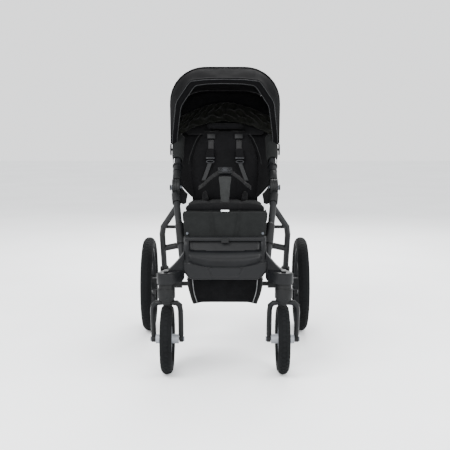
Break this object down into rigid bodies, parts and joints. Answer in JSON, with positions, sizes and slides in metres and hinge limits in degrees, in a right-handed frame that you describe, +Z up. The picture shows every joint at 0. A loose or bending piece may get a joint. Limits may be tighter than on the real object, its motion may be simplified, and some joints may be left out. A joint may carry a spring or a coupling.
{
  "type": "baby stroller",
  "caption": "Folding all-terrain stroller with large fixed rear wheels, swivelling front forks, arched canopy, reclining harness seat, footrest and hung basket.",
  "frame": {"origin": "on the ground, under the middle of the outer box", "axes": "+Z up; the child and the front wheels face -Y; +X is to the right when the stroller is seen from the front"},
  "size_m": [0.697, 0.97, 1.11],
  "materials": {
    "frame_tube": "satin black powder coat",
    "dark_plastic": "moulded, fine texture",
    "grey_plastic": "moulded, smooth",
    "steel": "zinc plated",
    "front_rim_silver": "silver paint",
    "rear_rim_dark": "moulded",
    "tyre_rubber": "matte, treaded",
    "grip_foam": "closed-cell foam",
    "canopy_cloth": "woven polyester",
    "seat_cloth": "padded woven polyester",
    "leg_rest_cloth": "padded woven polyester",
    "crotch_cloth": "padded brushed cloth",
    "webbing": "woven webbing"
  },
  "bodies": {
    "chassis": {"lower_tube_left": "frame_tube", "lower_tube_right": "frame_tube", "hinge_knuckles": "dark_plastic", "hinge_bolts": "steel", "bumper": "dark_plastic", "footrest": "dark_plastic", "front_arm_left": "dark_plastic", "front_arm_right": "dark_plastic", "caster_housing_left": "dark_plastic", "caster_housing_right": "dark_plastic", "seat_pad": "seat_cloth", "leg_rest": "leg_rest_cloth", "basket": "canopy_cloth", "crotch_pad": "crotch_cloth", "hip_pads": "seat_cloth", "buckle": "grey_plastic", "snap_studs": "steel"},
    "fork_left": {"fork_left": "dark_plastic", "front_axle_left": "steel"},
    "fork_right": {"fork_right": "dark_plastic", "front_axle_right": "steel"},
    "front_wheel_left": {"front_rim_left": "front_rim_silver", "front_tyre_left": "tyre_rubber"},
    "front_wheel_right": {"front_rim_right": "front_rim_silver", "front_tyre_right": "tyre_rubber"},
    "swivel_lock_left": {"swivel_lock_left": "grey_plastic"},
    "swivel_lock_right": {"swivel_lock_right": "grey_plastic"},
    "push_frame": {"upper_tube_left": "frame_tube", "upper_tube_right": "frame_tube", "push_knuckles": "dark_plastic", "handlebar": "frame_tube", "handle_grip": "grip_foam", "canopy_brackets": "dark_plastic", "canopy_rear": "canopy_cloth"},
    "fold_collar_left": {"fold_collar_left": "grey_plastic"},
    "fold_collar_right": {"fold_collar_right": "grey_plastic"},
    "seat_back": {"back_pad": "seat_cloth", "shoulder_straps": "webbing", "shoulder_pads": "seat_cloth", "strap_sliders": "grey_plastic"},
    "canopy_mid": {"canopy_mid": "canopy_cloth", "canopy_bow_mid": "dark_plastic"},
    "canopy_front": {"canopy_front": "canopy_cloth", "canopy_bow_front": "dark_plastic"},
    "rear_legs": {"rear_leg_left": "frame_tube", "rear_leg_right": "frame_tube", "leg_knuckles": "dark_plastic", "rear_cross_tube": "frame_tube", "rear_upper_bar": "frame_tube", "rear_axle": "dark_plastic", "axle_housings": "dark_plastic", "axle_caps": "grey_plastic"},
    "rear_wheel_left": {"rear_rim_left": "rear_rim_dark", "rear_tyre_left": "tyre_rubber"},
    "rear_wheel_right": {"rear_rim_right": "rear_rim_dark", "rear_tyre_right": "tyre_rubber"},
    "brake_pedal": {"brake_pedal": "grey_plastic"},
    "brake_pin_left": {"brake_pin_left": "steel"},
    "brake_pin_right": {"brake_pin_right": "steel"},
    "buckle_button": {"buckle_button": "grey_plastic"}
  },
  "joints": [
    {"name": "fold", "type": "hinge", "parent": "chassis", "child": "push_frame", "pos_m": [0, -0.015, 0.64], "axis": [1, 0, 0], "range_deg": [0, 115]},
    {"name": "leg_fold", "type": "hinge", "parent": "chassis", "child": "rear_legs", "pos_m": [0, -0.015, 0.64], "axis": [1, 0, 0], "range_deg": [-28, 0]},
    {"name": "recline", "type": "hinge", "parent": "push_frame", "child": "seat_back", "pos_m": [0, 0.095, 0.56], "axis": [1, 0, 0], "range_deg": [-25, 0]},
    {"name": "canopy_gather", "type": "hinge", "parent": "push_frame", "child": "canopy_mid", "pos_m": [0, 0.175, 0.78], "axis": [1, 0, 0], "range_deg": [-30, 0]},
    {"name": "canopy_open", "type": "hinge", "parent": "canopy_mid", "child": "canopy_front", "pos_m": [0, 0.175, 0.78], "axis": [1, 0, 0], "range_deg": [-20, 20]},
    {"name": "swivel_left", "type": "hinge", "parent": "chassis", "child": "fork_left", "pos_m": [-0.206, -0.399, 0.3], "axis": [0, 0, 1], "continuous": true},
    {"name": "front_spin_left", "type": "hinge", "parent": "fork_left", "child": "front_wheel_left", "pos_m": [-0.206, -0.359, 0.126], "axis": [1, 0, 0], "continuous": true},
    {"name": "swivel_lock_left", "type": "slide", "parent": "chassis", "child": "swivel_lock_left", "axis": [0, 0, -1], "range_m": [0, 0.006]},
    {"name": "fold_release_left", "type": "slide", "parent": "push_frame", "child": "fold_collar_left", "axis": [0, 0.7683, 0.6401], "range_m": [0, 0.012], "stiffness_N_per_m": 600, "springref_m": -0.005},
    {"name": "rear_spin_left", "type": "hinge", "parent": "rear_legs", "child": "rear_wheel_left", "pos_m": [-0.3245, 0.285, 0.2], "axis": [1, 0, 0], "continuous": true},
    {"name": "brake_pin_left", "type": "slide", "parent": "rear_legs", "child": "brake_pin_left", "axis": [-1, 0, 0], "range_m": [0, 0.0103]},
    {"name": "swivel_right", "type": "hinge", "parent": "chassis", "child": "fork_right", "pos_m": [0.206, -0.399, 0.3], "axis": [0, 0, 1], "continuous": true},
    {"name": "front_spin_right", "type": "hinge", "parent": "fork_right", "child": "front_wheel_right", "pos_m": [0.206, -0.359, 0.126], "axis": [1, 0, 0], "continuous": true},
    {"name": "swivel_lock_right", "type": "slide", "parent": "chassis", "child": "swivel_lock_right", "axis": [0, 0, -1], "range_m": [0, 0.006]},
    {"name": "fold_release_right", "type": "slide", "parent": "push_frame", "child": "fold_collar_right", "axis": [0, 0.7683, 0.6401], "range_m": [0, 0.012], "stiffness_N_per_m": 600, "springref_m": -0.005},
    {"name": "rear_spin_right", "type": "hinge", "parent": "rear_legs", "child": "rear_wheel_right", "pos_m": [0.3245, 0.285, 0.2], "axis": [1, 0, 0], "continuous": true},
    {"name": "brake_pin_right", "type": "slide", "parent": "rear_legs", "child": "brake_pin_right", "axis": [1, 0, 0], "range_m": [0, 0.0103]},
    {"name": "brake_press", "type": "hinge", "parent": "rear_legs", "child": "brake_pedal", "pos_m": [0, 0.285, 0.2], "axis": [1, 0, 0], "range_deg": [-22, 0]},
    {"name": "buckle_press", "type": "slide", "parent": "chassis", "child": "buckle_button", "axis": [0, 0.766, -0.6428], "range_m": [0, 0.0025], "stiffness_N_per_m": 800, "springref_m": -0.002}
  ],
  "couplings": [
    {"joint": "leg_fold", "follows": "fold", "ratio": -0.24348},
    {"joint": "canopy_gather", "follows": "fold", "ratio": -0.26087},
    {"joint": "brake_pin_left", "follows": "brake_press", "m_per_rad": -0.026044},
    {"joint": "brake_pin_right", "follows": "brake_press", "m_per_rad": -0.026044}
  ]
}
